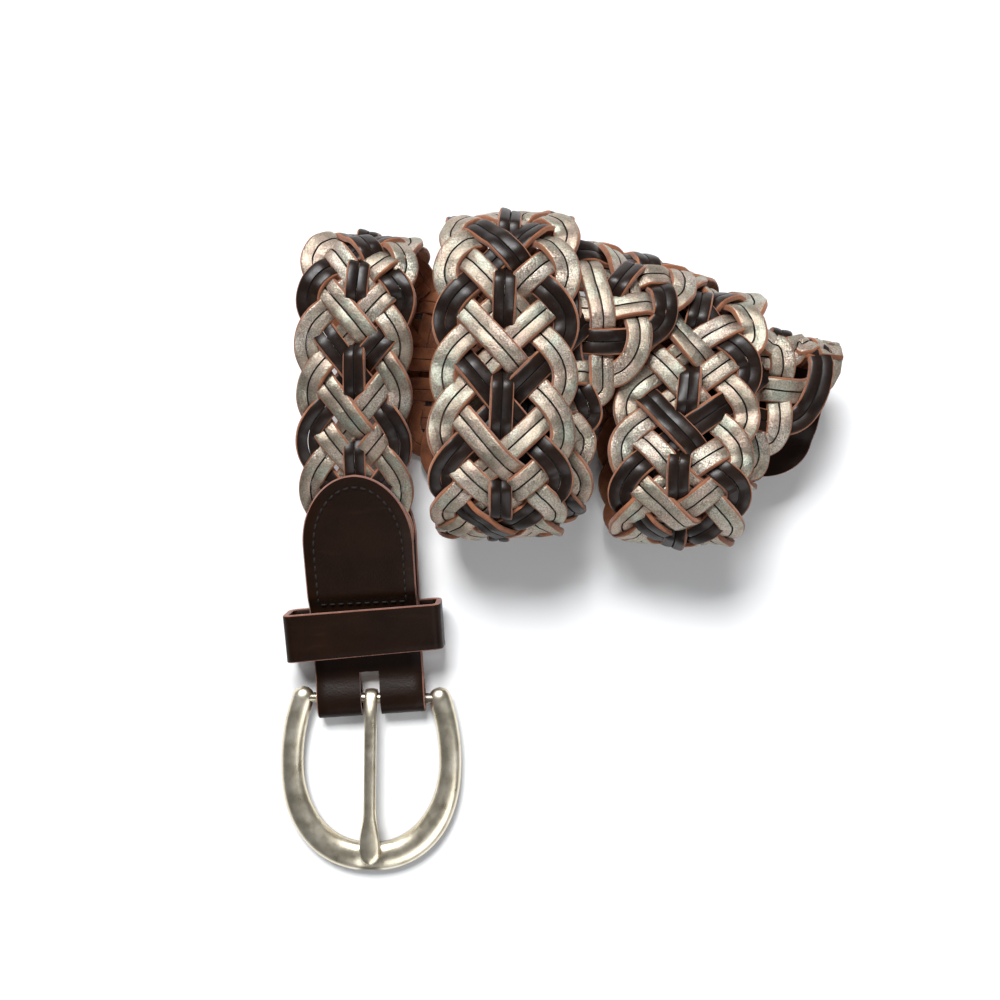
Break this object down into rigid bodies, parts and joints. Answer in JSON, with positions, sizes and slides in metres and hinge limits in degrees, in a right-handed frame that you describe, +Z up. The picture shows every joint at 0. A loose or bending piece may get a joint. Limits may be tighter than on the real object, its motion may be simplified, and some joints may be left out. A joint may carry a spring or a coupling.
{
  "type": "braided leather belt",
  "caption": "Braided leather belt lying loosely coiled, with a stitched strap end, a keeper loop and a horseshoe buckle laid out flat",
  "frame": {"origin": "on the table under the middle of the whole belt's bounding box", "axes": "+Z is up from the table, the buckle end points along -Y, and the coil's axis runs along X with the buckle end at -X"},
  "size_m": [0.1864, 0.2194, 0.0533],
  "materials": {
    "woven_laces": "metallic silver and near-black lace leather with rust suede edges",
    "dark_leather": "semi-gloss very dark brown grain with reddish cut edges",
    "antique_silver": "satin antique silver casting with darker hollows"
  },
  "bodies": {
    "belt": {"braid": "woven_laces", "buckle_strap": "dark_leather", "keeper_loop": "dark_leather", "tip_front": "dark_leather", "tip_back": "dark_leather"},
    "frame": {"buckle_frame": "antique_silver"},
    "prong": {"buckle_prong": "antique_silver"}
  },
  "joints": [
    {"name": "frame_hinge", "type": "hinge", "parent": "belt", "child": "frame", "pos_m": [-0.06217, -0.05031, 0.00452], "axis": [-1, 0.0087, 0], "range_deg": [0, 60]},
    {"name": "prong_hinge", "type": "hinge", "parent": "frame", "child": "prong", "pos_m": [-0.06217, -0.05031, 0.00452], "axis": [-1, 0.0087, 0], "range_deg": [0, 60]}
  ]
}
